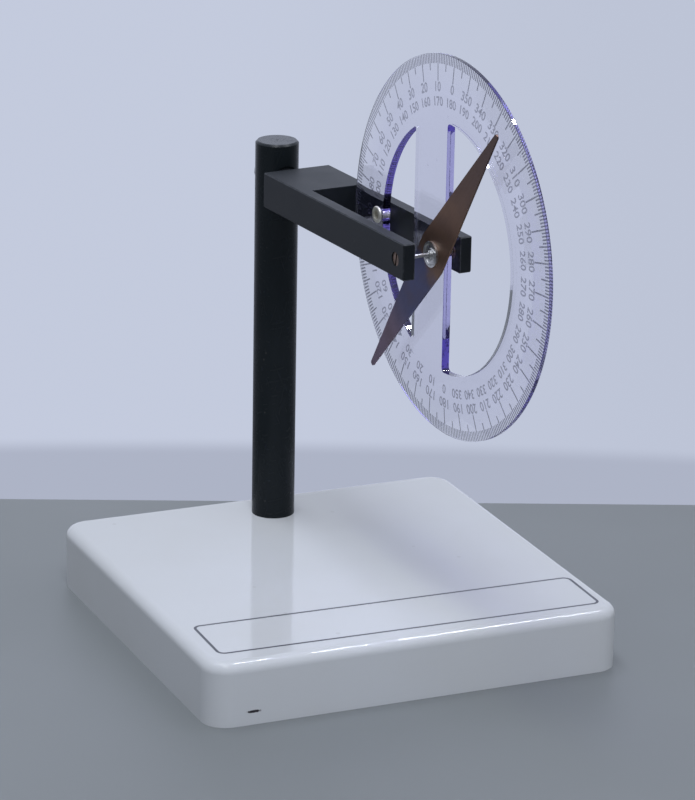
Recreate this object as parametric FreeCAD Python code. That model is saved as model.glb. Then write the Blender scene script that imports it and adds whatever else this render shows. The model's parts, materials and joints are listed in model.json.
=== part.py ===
import FreeCAD, Part
import math
import os

from FreeCAD import Placement, Rotation, Vector

# Dip circle on a square base. Millimetres and degrees.
# X runs to the right along the base's front edge, Y to the back and Z up from the table.
# The origin is the middle of the base's underside.

# Base: a hollow moulding with a flat cover let in flush underneath
base_width = 122.0
base_depth = 120.0
base_height = 18.0
base_corner = 7.0
base_edge = 3.0
base_wall = 3.0
base_roof = 3.5
rib_thick = 2.0
rib_drop = 6.0
boss_radius = 9.0
pillar_radius = 4.0
pillar_inset = 13.0
cover_thick = 2.0
cover_gap = 0.25

# Countersunk screws that hold the cover
cover_screw_radius = 1.5
cover_screw_head_radius = 2.8
cover_screw_head_height = 1.3
cover_screw_sink = 0.15
cover_screw_grip = 7.0
cover_pilot_spare = 1.0

# Post, with a spigot that locates it in the base
post_from_back = 14.0
post_radius = 6.2
post_length = 112.0
post_chamfer = 0.6
post_centre_mark = 0.5
spigot_radius = 4.0
spigot_length = 3.0

# Screw and washers that pull the post down on the base
post_screw_radius = 2.5
post_screw_grip = 10.0
post_tap_spare = 1.0
post_screw_head_radius = 4.4
post_screw_head_height = 2.6
post_screw_head_round = 1.0
post_screw_slot_depth = 1.0
post_screw_clearance = 1.1
post_screw_room = 1.0
post_washer_radius = 5.2
post_washer_thick = 0.8
lock_washer_radius = 4.2
lock_washer_thick = 1.0
lock_washer_split = 0.8
washer_lean = 25.0

# Head: everything the post carries, turned a little to the right on the base
head_turn = 5.0
pivot_drop = 10.5
pivot_radius = 2.0
pivot_grip = 11.0
pivot_tap_spare = 1.5
pivot_head_radius = 3.4
pivot_head_height = 2.0
pivot_head_rim = 0.5
pivot_washer_radius = 3.7
pivot_washer_thick = 0.6
spring_washer_radius = 3.3
spring_washer_thick = 0.7
spring_washer_split = 0.7
seat_depth = 0.6
seat_radius = 4.2
spacer_radius = 3.5
spacer_length = 6.35

# Yoke: one bar, slotted from its front end into two prongs
yoke_length = 81.0
yoke_width = 20.8
yoke_height = 10.0
yoke_prong = 3.45
yoke_root = 22.5
yoke_chamfer = 0.3
axle_from_tip = 4.5

# Bearing screws in the prongs, each with a cup for the axle's point
bearing_radius = 1.9
bearing_sink = 0.3
bearing_inner_sink = 0.1
cup_radius = 0.95
cup_depth = 0.95
bearing_slot_turn = 100.0

# Axle, hub and magnetic needle
axle_radius = 0.55
point_length = 1.0
point_radius = 0.1
needle_length = 102.0
needle_width = 13.0
needle_thick = 0.5
needle_tip_width = 1.4
needle_tip_round = 0.6
needle_waist_radius = 5.0
needle_place = 0.7
needle_dip = 51.4
hub_radius = 3.55
hub_thick = 0.6
hub_groove_inner = 1.7
hub_groove_outer = 2.9
hub_groove_depth = 0.25
boss_front_radius = 1.1
boss_front_length = 0.8
hub_spigot_radius = 1.6
collar_radius = 3.0
collar_thick = 0.7

# Clear scale disc with two windows beside an off-centre bar
disc_radius = 52.0
disc_thick = 2.3
disc_rim = 1.1
disc_bevel = 10.0
disc_lift = 1.0
window_radius = 34.3
window_corner = 1.2
small_window_corner = 0.5
bar_width = 17.0
axle_notch = 0.65

# Hollow rivets that fasten the disc to the rear prong
eyelet_reach = 37.3
eyelet_tube_radius = 1.7
eyelet_bore_radius = 1.35
eyelet_rim_radius = 2.35
eyelet_rim_thick = 0.5
eyelet_rim_round = 0.35

# Fits
thread_gap = 0.02
seat_gap = 0.02
hole_gap = 0.05
running_gap = 0.08
face_gap = 0.04
washer_gap = 0.15
point_gap = 0.06

# Slots of the screw heads
slot_width = 0.8
slot_depth = 0.7
bearing_slot_width = 0.6
bearing_slot_depth = 0.5

# How far a cutting shape runs past the face that it cuts, and how near counts as touching or as lying along
overrun = 1.0
touching = 0.01

# Levels and stations that follow from the sizes above
post_back = base_depth / 2 - post_from_back
roof_under = base_height - base_roof
post_stack = post_screw_head_height + lock_washer_thick + post_washer_thick
boss_under = cover_thick + post_screw_clearance + post_stack
post_top = base_height + post_length
pivot_height = post_top - pivot_drop
seat_station = post_radius - seat_depth
yoke_back = seat_station + spacer_length + face_gap
yoke_tip = yoke_back + yoke_length
axle_station = yoke_tip - axle_from_tip
slot_half = yoke_width / 2 - yoke_prong
disc_height = pivot_height + disc_lift
disc_back = slot_half
disc_front = disc_back - disc_thick
needle_back = needle_place + needle_thick
collar_back = needle_back + collar_thick

UP = Vector(0, 0, 1)
TO_RIGHT = Vector(1, 0, 0)
TO_LEFT = Vector(-1, 0, 0)
TO_BACK = Vector(0, 1, 0)
TO_FRONT = Vector(0, -1, 0)


def rod(radius, start, along, length):
    """A round bar from the point start."""
    return Part.makeCylinder(radius, length, start, along)


def tube(radius, bore, start, along, length):
    """A round bar with a bore right through it."""
    hole = rod(bore, start - along * overrun, along, length + 2 * overrun)
    return rod(radius, start, along, length).cut(hole)


def cone(start_radius, end_radius, start, along, length):
    """A truncated cone from the point start."""
    return Part.makeCone(start_radius, end_radius, length, start, along)


def block(low, high):
    """A box between two opposite corners."""
    size = high - low
    return Part.makeBox(size.x, size.y, size.z, low)


def rounded_block(width, depth, low_z, high_z, corner):
    """A box centred on the Z axis, with round upright corners."""
    low = Vector(-width / 2, -depth / 2, low_z)
    high = Vector(width / 2, depth / 2, high_z)
    body = block(low, high)
    return body.makeFillet(corner, edges_along(body, UP))


def edges_along(body, direction):
    """The straight edges of a body that run along a direction."""
    return [
        edge
        for edge in body.Edges
        if 1 - abs(edge.tangentAt(edge.FirstParameter).dot(direction)) < touching
    ]


def edges_above(body, level):
    """The edges of a body that lie wholly at a level or above it."""
    return [edge for edge in body.Edges if edge.BoundBox.ZMin > level - touching]


def fuse(first, others):
    """One solid from pieces that overlap."""
    return first.fuse(others).removeSplitter()


def in_head(shape):
    """Moves a shape from the head's own axes to its place on the base.

    In the head's own axes the post stands on the Z axis, the yoke points to -Y,
    the axle lies along X, and heights are already those above the table.
    """
    placed = shape.copy()
    turn = Placement(Vector(0, post_back, 0), Rotation(UP, head_turn))
    placed.Placement = turn.multiply(placed.Placement)
    return placed


def save(name, shape):
    """Writes one node."""
    shape.exportStep(os.path.join("parts", name + ".step"))


def pillar_places():
    """The axes of the four screws under the base."""
    x = base_width / 2 - pillar_inset
    y = base_depth / 2 - pillar_inset
    return [(-x, -y), (x, -y), (x, y), (-x, y)]


def cavity_block(gap, low_z, high_z):
    """The inside of the base's walls, drawn in by a gap."""
    margin = base_wall + gap
    return rounded_block(
        base_width - 2 * margin, base_depth - 2 * margin, low_z, high_z, base_corner - margin
    )


def base_outside():
    """The outer form of the base, with its rounded top edges."""
    body = rounded_block(base_width, base_depth, 0, base_height, base_corner)
    return body.makeFillet(base_edge, edges_above(body, base_height))


def base_ribs():
    """Two ribs under the roof, crossed at the post, that reach the walls."""
    low_z = roof_under - rib_drop
    half_x = base_width / 2 - base_wall / 2
    half_y = base_depth / 2 - base_wall / 2
    across = block(
        Vector(-half_x, post_back - rib_thick / 2, low_z),
        Vector(half_x, post_back + rib_thick / 2, roof_under + base_roof / 2),
    )
    along = block(
        Vector(-rib_thick / 2, -half_y, low_z),
        Vector(rib_thick / 2, half_y, roof_under + base_roof / 2),
    )
    return [across, along]


def screw_well():
    """The room below the boss for the post's screw and washers."""
    radius = max(post_washer_radius, post_screw_head_radius, lock_washer_radius) + post_screw_room
    return rod(radius, Vector(0, post_back, 0), UP, boss_under)


def base_shell():
    """The hollow moulding, with its boss, ribs and screw pillars."""
    body = base_outside().cut(cavity_block(0, -overrun, roof_under))
    overlap = base_roof / 2
    boss = rod(boss_radius, Vector(0, post_back, boss_under), UP, roof_under - boss_under + overlap)
    pillars = [
        rod(pillar_radius, Vector(x, y, cover_thick), UP, roof_under - cover_thick + overlap)
        for x, y in pillar_places()
    ]
    ribs = [rib.cut(screw_well()) for rib in base_ribs()]
    body = fuse(body, [boss] + ribs + pillars)
    spigot_hole = rod(
        spigot_radius + seat_gap,
        Vector(0, post_back, base_height - spigot_length - hole_gap),
        UP,
        spigot_length + hole_gap + overrun,
    )
    screw_hole = rod(post_screw_radius + hole_gap, Vector(0, post_back, 0), UP, base_height)
    body = body.cut(spigot_hole).cut(screw_hole)
    pilot_length = cover_screw_grip + cover_pilot_spare + overrun
    for x, y in pillar_places():
        start = Vector(x, y, cover_thick - overrun)
        body = body.cut(rod(cover_screw_radius + thread_gap, start, UP, pilot_length))
    return body


def cover_countersink(x, y, gap):
    """The cone of one countersunk head, with its mouth at the sink below the cover's face."""
    narrow = cover_screw_radius + gap
    wide = cover_screw_head_radius + gap
    return cone(wide, narrow, Vector(x, y, cover_screw_sink), UP, cover_screw_head_height)


def base_cover():
    """The flat plate that closes the base, flush with its rim."""
    body = cavity_block(cover_gap, 0, cover_thick)
    for x, y in pillar_places():
        below = Vector(x, y, -overrun)
        mouth = rod(cover_screw_head_radius + hole_gap, below, UP, overrun + cover_screw_sink)
        hole = rod(cover_screw_radius + hole_gap, below, UP, cover_thick + 2 * overrun)
        body = body.cut(mouth).cut(cover_countersink(x, y, hole_gap)).cut(hole)
    return body


def cover_screw(x, y):
    """One countersunk screw with a straight slot."""
    length = cover_thick + cover_screw_grip - cover_screw_sink
    shank = rod(cover_screw_radius, Vector(x, y, cover_screw_sink), UP, length)
    body = fuse(shank, [cover_countersink(x, y, 0)])
    half = cover_screw_head_radius + overrun
    slot = block(
        Vector(x - half, y - slot_width / 2, cover_screw_sink - overrun),
        Vector(x + half, y + slot_width / 2, cover_screw_sink + slot_depth),
    )
    return body.cut(slot)


def post():
    """The round post: spigot and tapped hole below, cross hole and two flat seats above."""
    body = rod(post_radius, Vector(0, 0, base_height), UP, post_length)
    body = body.makeChamfer(post_chamfer, edges_above(body, post_top))
    spigot = rod(spigot_radius, Vector(0, 0, base_height - spigot_length), UP, spigot_length + overrun)
    body = fuse(body, [spigot])
    tapped = rod(
        post_screw_radius + thread_gap,
        Vector(0, 0, base_height - spigot_length - overrun),
        UP,
        overrun + spigot_length + post_screw_grip + post_tap_spare,
    )
    mark = cone(0, post_centre_mark, Vector(0, 0, post_top - post_centre_mark), UP, post_centre_mark)
    cross = rod(
        pivot_radius + running_gap,
        Vector(0, post_radius + overrun, pivot_height),
        TO_FRONT,
        2 * (post_radius + overrun),
    )
    body = body.cut(tapped).cut(mark).cut(cross)
    for side in (TO_FRONT, TO_BACK):
        seat = rod(seat_radius, UP * pivot_height + side * seat_station, side, seat_depth + overrun)
        body = body.cut(seat)
    return body


def split_ring(radius, bore, split, start, along, length):
    """A spring washer: a flat ring with a slanting cut through one side."""
    ring = tube(radius, bore, start, along, length)
    cutter = Part.makeBox(split, radius, 6 * length, Vector(-split / 2, 0, -3 * length))
    lean = Placement(Vector(0, 0, 0), Rotation(TO_BACK, washer_lean))
    turn = Placement(start + along * (length / 2), Rotation(UP, along))
    cutter.Placement = turn.multiply(lean)
    return ring.cut(cutter)


def post_screw_parts():
    """The screw from below, its lock washer and its flat washer, on the post's axis."""
    axis = Vector(0, post_back, 0)
    washer_low = boss_under - post_washer_thick
    lock_low = washer_low - lock_washer_thick
    head_low = lock_low - post_screw_head_height
    bore = post_screw_radius + washer_gap
    washer = tube(post_washer_radius, bore, axis + UP * washer_low, UP, post_washer_thick)
    lock = split_ring(
        lock_washer_radius, bore, lock_washer_split, axis + UP * lock_low, UP, lock_washer_thick
    )
    head = rod(post_screw_head_radius, axis + UP * head_low, UP, post_screw_head_height)
    rim = [edge for edge in head.Edges if edge.BoundBox.ZMax < head_low + touching]
    head = head.makeFillet(post_screw_head_round, rim)
    shank_low = head_low + post_screw_head_height / 2
    shank_length = base_height + post_screw_grip - shank_low
    screw = fuse(head, [rod(post_screw_radius, axis + UP * shank_low, UP, shank_length)])
    half = post_screw_head_radius + overrun
    slot = block(
        Vector(-half, post_back - slot_width / 2, head_low - overrun),
        Vector(half, post_back + slot_width / 2, head_low + post_screw_slot_depth),
    )
    return screw.cut(slot), lock, washer


def pivot_point(station):
    """A point on the pivot's axis, a distance in front of the post's axis."""
    return Vector(0, -station, pivot_height)


def pivot_parts():
    """The pivot screw through the post, its two washers and the spacer in front."""
    washer_start = seat_station
    spring_start = washer_start + pivot_washer_thick + face_gap
    head_start = spring_start + spring_washer_thick
    bore = pivot_radius + running_gap
    washer = tube(pivot_washer_radius, bore, pivot_point(-washer_start), TO_BACK, pivot_washer_thick)
    spring = split_ring(
        spring_washer_radius,
        pivot_radius + washer_gap,
        spring_washer_split,
        pivot_point(-spring_start),
        TO_BACK,
        spring_washer_thick,
    )
    spacer = tube(spacer_radius, bore, pivot_point(seat_station), TO_FRONT, spacer_length)
    shank = rod(pivot_radius, pivot_point(-head_start), TO_FRONT, head_start + yoke_back + pivot_grip)
    screw = fuse(shank, [dome(head_start)])
    half = pivot_head_radius + overrun
    head_end = head_start + pivot_head_height
    slot = block(
        Vector(-half, head_end - slot_depth, pivot_height - slot_width / 2),
        Vector(half, head_end + overrun, pivot_height + slot_width / 2),
    )
    return screw.cut(slot), washer, spring, spacer


def dome(head_start):
    """The pivot screw's round head: a short rim and a cap of a sphere."""
    cap = pivot_head_height - pivot_head_rim
    ball_radius = (pivot_head_radius ** 2 + cap ** 2) / (2 * cap)
    centre = pivot_point(-(head_start + pivot_head_height - ball_radius))
    ball = Part.makeSphere(ball_radius, centre)
    return rod(pivot_head_radius, pivot_point(-head_start), TO_BACK, pivot_head_height).common(ball)


def axle_point(side, height):
    """A point in the plane through the axle, a distance to the right of the yoke's middle."""
    return Vector(side, -axle_station, height)


def eyelet_places():
    """The two rivets on the disc's level diameter: on its ring and on its bar."""
    return [
        Vector(0, -(axle_station - eyelet_reach), disc_height),
        Vector(0, -(axle_station - bar_width / 2), disc_height),
    ]


def yoke():
    """The slotted bar, with its pivot hole, bearing holes and rivet holes."""
    low = Vector(-yoke_width / 2, -yoke_tip, pivot_height - yoke_height / 2)
    high = Vector(yoke_width / 2, -yoke_back, pivot_height + yoke_height / 2)
    bar = block(low, high)
    bar = bar.makeChamfer(yoke_chamfer, bar.Edges)
    slot = block(
        Vector(-slot_half, -yoke_tip - overrun, low.z - overrun),
        Vector(slot_half, -(yoke_back + yoke_root), high.z + overrun),
    )
    pivot_hole = rod(
        pivot_radius + thread_gap,
        pivot_point(yoke_back - overrun),
        TO_FRONT,
        overrun + pivot_grip + pivot_tap_spare,
    )
    bearing_hole = rod(
        bearing_radius + thread_gap,
        axle_point(-yoke_width / 2 - overrun, pivot_height),
        TO_RIGHT,
        yoke_width + 2 * overrun,
    )
    bar = bar.cut(slot).cut(pivot_hole).cut(bearing_hole)
    for place in eyelet_places():
        bar = bar.cut(rod(eyelet_tube_radius + seat_gap, place, TO_RIGHT, yoke_width))
    return bar


def bearing(side):
    """One slotted bearing screw; side is -1 for the front prong and 1 for the rear one."""
    along = TO_RIGHT * side
    inner = slot_half + bearing_inner_sink
    outer = yoke_width / 2 - bearing_sink
    start = axle_point(side * inner, pivot_height)
    body = rod(bearing_radius, start, along, outer - inner)
    cup = cone(cup_radius, 0, start, along, cup_depth)
    slot_reach = Vector(bearing_slot_depth, bearing_radius + overrun, bearing_slot_width / 2)
    slot = block(-slot_reach, slot_reach)
    turn = Rotation(TO_RIGHT, bearing_slot_turn)
    slot = slot.transformGeometry(Placement(axle_point(side * outer, pivot_height), turn).toMatrix())
    return body.cut(cup).cut(slot)


def axle():
    """The steel axle: a straight pin with a point at each end, just clear of its cups."""
    inner = slot_half + bearing_inner_sink
    reach = cup_depth * (1 - (point_radius + point_gap) / cup_radius)
    tip = inner + reach
    shoulder = tip - point_length
    body = rod(axle_radius, axle_point(-shoulder, pivot_height), TO_RIGHT, 2 * shoulder)
    right = cone(axle_radius, point_radius, axle_point(shoulder, pivot_height), TO_RIGHT, point_length)
    left = cone(axle_radius, point_radius, axle_point(-shoulder, pivot_height), TO_LEFT, point_length)
    return fuse(body, [right, left])


def hub():
    """The hub: a grooved flange in front of the needle, a small boss, and a spigot through it."""
    flange_front = needle_place - hub_thick
    flange = rod(hub_radius, axle_point(flange_front, pivot_height), TO_RIGHT, hub_thick)
    boss = rod(
        boss_front_radius,
        axle_point(flange_front - boss_front_length, pivot_height),
        TO_RIGHT,
        boss_front_length + hub_thick,
    )
    spigot = rod(
        hub_spigot_radius, axle_point(flange_front, pivot_height), TO_RIGHT, collar_back - flange_front
    )
    groove = tube(
        hub_groove_outer,
        hub_groove_inner,
        axle_point(flange_front - overrun, pivot_height),
        TO_RIGHT,
        overrun + hub_groove_depth,
    )
    bore = rod(axle_radius + seat_gap, axle_point(-yoke_width, pivot_height), TO_RIGHT, 2 * yoke_width)
    return fuse(flange.cut(groove), [boss, spigot]).cut(bore)


def hub_collar():
    """The ring behind the needle, on the hub's spigot."""
    start = axle_point(needle_back, pivot_height)
    return tube(collar_radius, hub_spigot_radius + seat_gap, start, TO_RIGHT, collar_thick)


def needle():
    """The flat magnetic needle: a long rhombus with a rounded waist and blunt tips."""
    half_length = needle_length / 2
    half_width = needle_width / 2
    half_tip = needle_tip_width / 2
    corners = [
        Vector(0, -half_length, -half_tip),
        Vector(0, -half_length, half_tip),
        Vector(0, 0, half_width),
        Vector(0, half_length, half_tip),
        Vector(0, half_length, -half_tip),
        Vector(0, 0, -half_width),
    ]
    outline = Part.makePolygon(corners + [corners[0]])
    blade = Part.Face(outline).extrude(Vector(needle_thick, 0, 0))
    waist = [edge for edge in edges_along(blade, TO_RIGHT) if abs(edge.CenterOfMass.y) < touching]
    blade = blade.makeFillet(needle_waist_radius, waist)
    tips = [
        edge
        for edge in edges_along(blade, TO_RIGHT)
        if abs(abs(edge.CenterOfMass.y) - half_length) < touching
    ]
    blade = blade.makeFillet(needle_tip_round, tips)
    hole_start = TO_LEFT * overrun
    blade = blade.cut(rod(hub_spigot_radius + seat_gap, hole_start, TO_RIGHT, needle_thick + 2 * overrun))
    blade.Placement = Placement(axle_point(needle_place, pivot_height), Rotation(TO_RIGHT, -needle_dip))
    return blade


def window(low_reach, high_reach, centre, corner):
    """A window in the disc: the part of a circle between two distances along the yoke."""
    start = centre - TO_RIGHT * overrun
    thick = disc_thick + 2 * overrun
    half_high = window_radius + overrun
    circle = rod(window_radius, start, TO_RIGHT, thick)
    band = block(
        Vector(start.x, centre.y - high_reach, centre.z - half_high),
        Vector(start.x + thick, centre.y - low_reach, centre.z + half_high),
    )
    body = circle.common(band)
    corners = [
        edge for edge in edges_along(body, TO_RIGHT) if abs(edge.CenterOfMass.z - centre.z) > touching
    ]
    return body.makeFillet(corner, corners)


def scale_disc():
    """The clear disc: bevelled rim, two windows, a notch for the axle and two rivet holes."""
    centre = Vector(disc_front, -axle_station, disc_height)
    flat = rod(disc_radius - disc_bevel, centre, TO_RIGHT, disc_thick)
    bevel_depth = disc_thick - disc_rim
    slope = cone(disc_radius - disc_bevel, disc_radius, centre, TO_RIGHT, bevel_depth)
    rim = rod(disc_radius, centre + TO_RIGHT * bevel_depth, TO_RIGHT, disc_rim)
    body = fuse(slope, [rim, flat])
    body = body.cut(window(0, window_radius + overrun, centre, window_corner))
    body = body.cut(window(-window_radius - overrun, -bar_width, centre, small_window_corner))
    notch_start = axle_point(disc_front - overrun, pivot_height)
    body = body.cut(rod(axle_radius + axle_notch, notch_start, TO_RIGHT, disc_thick + 2 * overrun))
    for place in eyelet_places():
        body = body.cut(rod(eyelet_tube_radius + hole_gap, place, TO_RIGHT, yoke_width))
    return body


def eyelet(place):
    """One hollow rivet: a tube with a rolled rim on the disc and one on the outside of the prong."""
    front = disc_front - eyelet_rim_thick
    back = yoke_width / 2 + eyelet_rim_thick
    stem = rod(eyelet_tube_radius, place + TO_RIGHT * front, TO_RIGHT, back - front)
    front_rim = rod(eyelet_rim_radius, place + TO_RIGHT * front, TO_RIGHT, eyelet_rim_thick)
    back_rim = rod(eyelet_rim_radius, place + TO_RIGHT * (yoke_width / 2), TO_RIGHT, eyelet_rim_thick)
    body = fuse(stem, [front_rim, back_rim])
    bore_start = place + TO_RIGHT * (front - overrun)
    body = body.cut(rod(eyelet_bore_radius, bore_start, TO_RIGHT, back - front + 2 * overrun))
    outer = [
        edge
        for edge in body.Edges
        if min(abs(edge.CenterOfMass.x - front), abs(edge.CenterOfMass.x - back)) < touching
        and edge.Length > 2 * math.pi * eyelet_tube_radius
    ]
    return body.makeFillet(eyelet_rim_round, outer)


def build():
    os.makedirs("parts", exist_ok=True)
    save("base_shell", base_shell())
    save("base_cover", base_cover())
    save("cover_screws", Part.makeCompound([cover_screw(x, y) for x, y in pillar_places()]))
    screw, lock, washer = post_screw_parts()
    save("post_screw", screw)
    save("post_lock_washer", lock)
    save("post_washer", washer)
    save("post", in_head(post()))
    screw, washer, spring, spacer = pivot_parts()
    save("pivot_screw", in_head(screw))
    save("pivot_washer", in_head(washer))
    save("pivot_spring_washer", in_head(spring))
    save("pivot_spacer", in_head(spacer))
    save("yoke", in_head(yoke()))
    save("front_bearing", in_head(bearing(-1)))
    save("rear_bearing", in_head(bearing(1)))
    save("axle", in_head(axle()))
    save("needle_hub", in_head(hub()))
    save("hub_collar", in_head(hub_collar()))
    save("needle", in_head(needle()))
    save("scale_disc", in_head(scale_disc()))
    save("disc_eyelets", in_head(Part.makeCompound([eyelet(place) for place in eyelet_places()])))


build()
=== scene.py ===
import json
import math

import bmesh
import bpy
import numpy as np
from mathutils import Matrix, Vector


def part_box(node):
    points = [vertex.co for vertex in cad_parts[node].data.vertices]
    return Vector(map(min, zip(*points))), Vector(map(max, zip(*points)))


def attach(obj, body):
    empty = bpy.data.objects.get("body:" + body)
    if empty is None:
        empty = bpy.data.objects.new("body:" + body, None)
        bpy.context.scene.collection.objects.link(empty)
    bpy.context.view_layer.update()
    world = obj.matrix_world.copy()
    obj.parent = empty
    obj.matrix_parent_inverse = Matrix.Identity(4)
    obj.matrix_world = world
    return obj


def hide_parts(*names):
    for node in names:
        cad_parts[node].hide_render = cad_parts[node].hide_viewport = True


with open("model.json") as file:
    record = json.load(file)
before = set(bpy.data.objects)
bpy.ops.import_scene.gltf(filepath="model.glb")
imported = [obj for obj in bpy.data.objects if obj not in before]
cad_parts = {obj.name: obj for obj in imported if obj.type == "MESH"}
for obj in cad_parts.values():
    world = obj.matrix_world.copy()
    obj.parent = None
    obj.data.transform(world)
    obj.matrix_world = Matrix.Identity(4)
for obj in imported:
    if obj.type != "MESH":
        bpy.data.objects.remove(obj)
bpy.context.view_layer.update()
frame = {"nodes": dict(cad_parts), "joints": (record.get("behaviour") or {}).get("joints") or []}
cad = frame["nodes"]

# BASE SHELL
# One injection moulding in off-white plastic, open underneath, with a polished mould finish. It shows a faint
# waviness in its reflections, fine rubbing marks on top and a dark scuff low on its front.


def add_node(tree, kind, inputs=None, **options):
    """One shader node, with its options set and its inputs either linked or given a value."""
    made = tree.nodes.new(kind)
    for option, value in options.items():
        setattr(made, option, value)
    for socket, value in (inputs or {}).items():
        if isinstance(value, bpy.types.NodeSocket):
            tree.links.new(value, made.inputs[socket])
        else:
            made.inputs[socket].default_value = value
    return made


def start_group(name, ins, outs):
    """A shader node group with named sockets; gives back its tree, its inputs and its output node."""
    tree = bpy.data.node_groups.new(name, "ShaderNodeTree")
    for label, kind, value in ins:
        socket = tree.interface.new_socket(label, in_out="INPUT", socket_type=kind)
        if value is not None:
            socket.default_value = value
    for label, kind in outs:
        tree.interface.new_socket(label, in_out="OUTPUT", socket_type=kind)
    return tree, add_node(tree, "NodeGroupInput"), add_node(tree, "NodeGroupOutput")


def place_group(tree, group, inputs):
    """One use of a shader node group in a material."""
    return add_node(tree, "ShaderNodeGroup", inputs, node_tree=group)


def sums(tree, operation, *values, clamp=False):
    """The result socket of one Math node."""
    inputs = dict(enumerate(values))
    return add_node(tree, "ShaderNodeMath", inputs, operation=operation, use_clamp=clamp).outputs[0]


def vectors(tree, operation, *values):
    """The result of one Vector Math node: a number for a length or a dot product, otherwise a vector."""
    made = add_node(tree, "ShaderNodeVectorMath", dict(enumerate(values)), operation=operation)
    return made.outputs["Value" if operation in ("LENGTH", "DOT_PRODUCT") else "Vector"]


def split(tree, vector):
    """The X, Y and Z parts of a vector."""
    return add_node(tree, "ShaderNodeSeparateXYZ", {"Vector": vector}).outputs


def joined(tree, **parts):
    """A vector from its named X, Y and Z parts."""
    return add_node(tree, "ShaderNodeCombineXYZ", parts).outputs[0]


def cloud(tree, place, scale, detail):
    """A soft random pattern; its scale is in lumps to the metre."""
    made = add_node(tree, "ShaderNodeTexNoise", {"Vector": place, "Scale": scale, "Detail": detail})
    return made.outputs["Fac"]


def fade(tree, value, low, high, at_low=0.0, at_high=1.0):
    """A smooth step of a value from one level to another."""
    made = add_node(
        tree,
        "ShaderNodeMapRange",
        {"Value": value, "From Min": low, "From Max": high, "To Min": at_low, "To Max": at_high},
        interpolation_type="SMOOTHSTEP",
    )
    return made.outputs["Result"]


def tint(tree, share, first, second):
    """A colour that goes from the first to the second as the share goes from 0 to 1."""
    made = tree.nodes.new("ShaderNodeMix")
    made.data_type = "RGBA"
    colour_inputs = {"Factor": share, "A": first, "B": second}
    for socket in made.inputs:
        if socket.name in colour_inputs and (socket.type == "RGBA" or socket.identifier == "Factor_Float"):
            value = colour_inputs[socket.name]
            if isinstance(value, bpy.types.NodeSocket):
                tree.links.new(value, socket)
            else:
                socket.default_value = value if socket.identifier == "Factor_Float" else (*value, 1.0)
    return next(out for out in made.outputs if out.type == "RGBA")


def start_material(name, **constants):
    """A material with one Principled shader, whose even values are set on its own sockets."""
    material = bpy.data.materials.new(name)
    material.use_nodes = True
    shader = material.node_tree.nodes["Principled BSDF"]
    for socket, value in constants.items():
        shader.inputs[socket.replace("_", " ")].default_value = value
    return material, material.node_tree, shader


def place_on(tree):
    """The point on the piece, in metres from the middle of the base's underside."""
    return add_node(tree, "ShaderNodeTexCoord").outputs["Object"]


def moved(tree, point, shift=(0, 0, 0), turn=(0, 0, 0), scale=(1, 1, 1)):
    """A pattern's own axes: the point scaled, turned and shifted."""
    inputs = {"Vector": point, "Location": shift, "Rotation": turn, "Scale": scale}
    return add_node(tree, "ShaderNodeMapping", inputs).outputs["Vector"]


def dress(node, material):
    """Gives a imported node's object its finish."""
    mesh = cad[node].data
    mesh.materials.clear()
    mesh.materials.append(material)


def connect(tree, shader, **sockets):
    """Links sockets to the Principled shader's varying inputs."""
    for name, socket in sockets.items():
        tree.links.new(socket, shader.inputs[name.replace("_", " ")])


def raised(tree, shader, height, distance, strength=1.0):
    """Feeds a height in the piece's own pattern to the shader as a bump."""
    bump = add_node(tree, "ShaderNodeBump", {"Height": height, "Distance": distance, "Strength": strength})
    tree.links.new(bump.outputs["Normal"], shader.inputs["Normal"])


def handling_group():
    """Marks of use: broad uneven tone, fine rubbing lines that lie every way, and sparse specks of dust."""
    tree, ins, outs = start_group(
        "marks of handling",
        [
            ("Place", "NodeSocketVector", None),
            ("Patch size", "NodeSocketFloat", 0.03),
            ("Rub spacing", "NodeSocketFloat", 0.004),
            ("Speck spacing", "NodeSocketFloat", 0.004),
        ],
        [("Tone", "NodeSocketFloat"), ("Rubs", "NodeSocketFloat"), ("Specks", "NodeSocketFloat")],
    )
    place = ins.outputs["Place"]
    patch = cloud(tree, place, sums(tree, "DIVIDE", 1.0, ins.outputs["Patch size"]), 3.0)
    tree.links.new(fade(tree, patch, 0.3, 0.7), outs.inputs["Tone"])
    rub_stretch = (1.0, 22.0, 22.0)
    rub_masks = []
    for turn, seed in ((0.3, 0.0), (1.25, 7.0), (2.2, 13.0)):
        lie = moved(tree, place, shift=(seed, seed, seed), turn=(turn, 0.4 * turn, turn))
        stretched = vectors(tree, "MULTIPLY", lie, rub_stretch)
        streak = cloud(tree, stretched, sums(tree, "DIVIDE", 0.16, ins.outputs["Rub spacing"]), 1.0)
        rub_masks.append(fade(tree, streak, 0.64, 0.70))
    rubs = sums(tree, "MAXIMUM", sums(tree, "MAXIMUM", rub_masks[0], rub_masks[1]), rub_masks[2])
    tree.links.new(rubs, outs.inputs["Rubs"])
    cells = add_node(
        tree,
        "ShaderNodeTexVoronoi",
        {"Vector": place, "Scale": sums(tree, "DIVIDE", 1.0, ins.outputs["Speck spacing"])},
    )
    dot = fade(tree, cells.outputs["Distance"], 0.05, 0.09, 1.0, 0.0)
    chosen = add_node(tree, "ShaderNodeSeparateColor", {"Color": cells.outputs["Color"]}).outputs["Red"]
    tree.links.new(sums(tree, "MULTIPLY", dot, fade(tree, chosen, 0.7, 0.75)), outs.inputs["Specks"])
    return tree


HANDLING = handling_group()


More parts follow.
